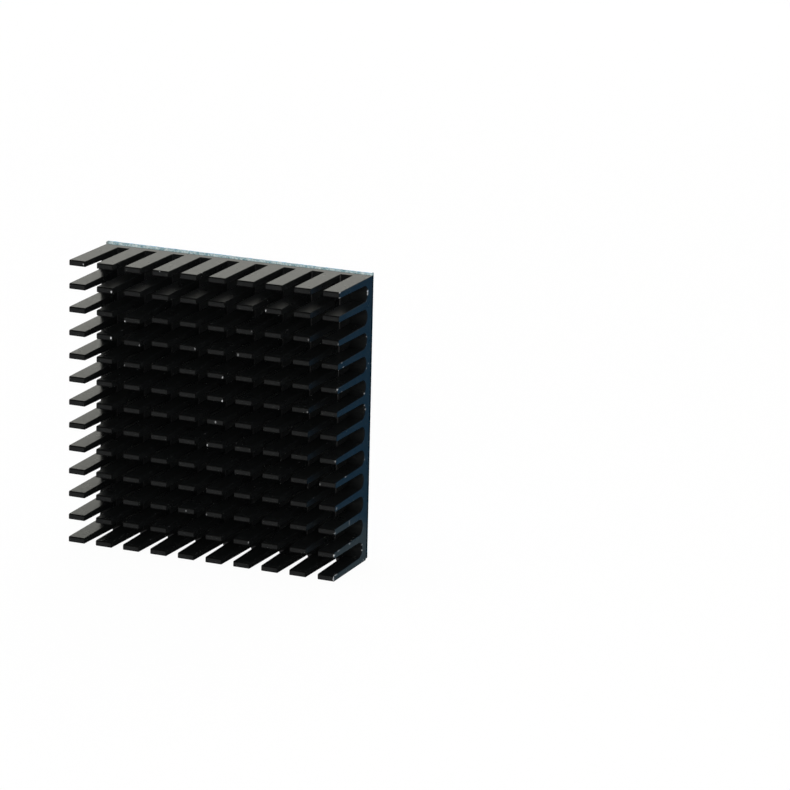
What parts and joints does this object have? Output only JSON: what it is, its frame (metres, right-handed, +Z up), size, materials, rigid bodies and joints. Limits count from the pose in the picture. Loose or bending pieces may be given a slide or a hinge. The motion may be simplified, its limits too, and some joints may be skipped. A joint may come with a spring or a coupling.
{
  "type": "heat sink",
  "caption": "Square black aluminium heat sink with rows of flat pins on a thin base, for cooling a chip; its back has an adhesive pad under a blue release liner.",
  "frame": {"origin": "middle of the footprint, on the surface that the heat sink stands on", "axes": "+X along the fins, +Y from the pin tips to the liner, +Z up across the fins"},
  "size_m": [0.04, 0.0116, 0.0404],
  "materials": {
    "black_anodised": "black anodised, satin, with bare metal at a few nicked edges",
    "adhesive": "pale, slightly translucent, tacky, with a rough cut edge",
    "blue_film": "smooth, soft gloss"
  },
  "bodies": {
    "root": {"heat_sink_body": "black_anodised", "adhesive_pad": "adhesive", "release_liner": "blue_film"}
  },
  "joints": []
}
